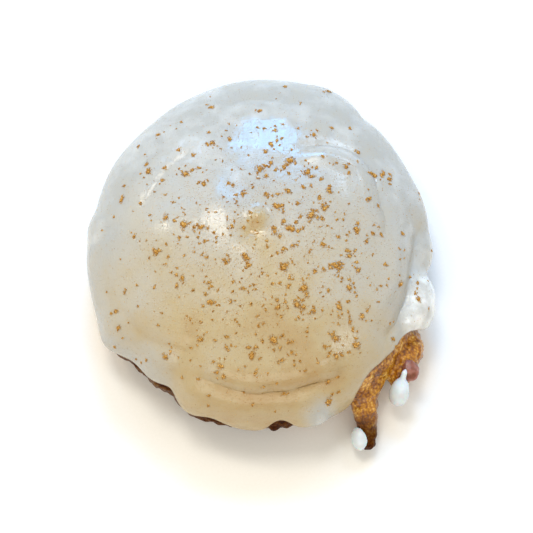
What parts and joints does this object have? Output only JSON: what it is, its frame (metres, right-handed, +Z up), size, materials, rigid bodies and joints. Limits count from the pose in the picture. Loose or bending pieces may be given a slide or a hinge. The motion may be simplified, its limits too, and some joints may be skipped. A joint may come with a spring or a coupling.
{
  "type": "iced fritter doughnut",
  "caption": "Round fried dough fritter with a domed top, a thick coat of pale icing dusted with cinnamon, a craggy foot, a hanging tendril and set icing drips.",
  "frame": {"origin": "middle of the flat underside, on the surface it rests on", "axes": "+Z up through the dome, +X to the right, +Y to the far side; the tendril hangs towards +X and -Y"},
  "size_m": [0.1054, 0.1162, 0.038],
  "materials": {
    "fried_crust": "golden-brown fried crust with an oily shine",
    "sugar_icing": "set sugar icing, smooth and shiny, with cinnamon on it",
    "cooked_fruit": "moist cooked fruit",
    "set_drip": "thick white icing"
  },
  "bodies": {
    "root": {"dough": "fried_crust", "icing": "sugar_icing", "fruit_chunk": "cooked_fruit", "icing_drip": "set_drip", "tendril_drip": "set_drip"}
  },
  "joints": []
}
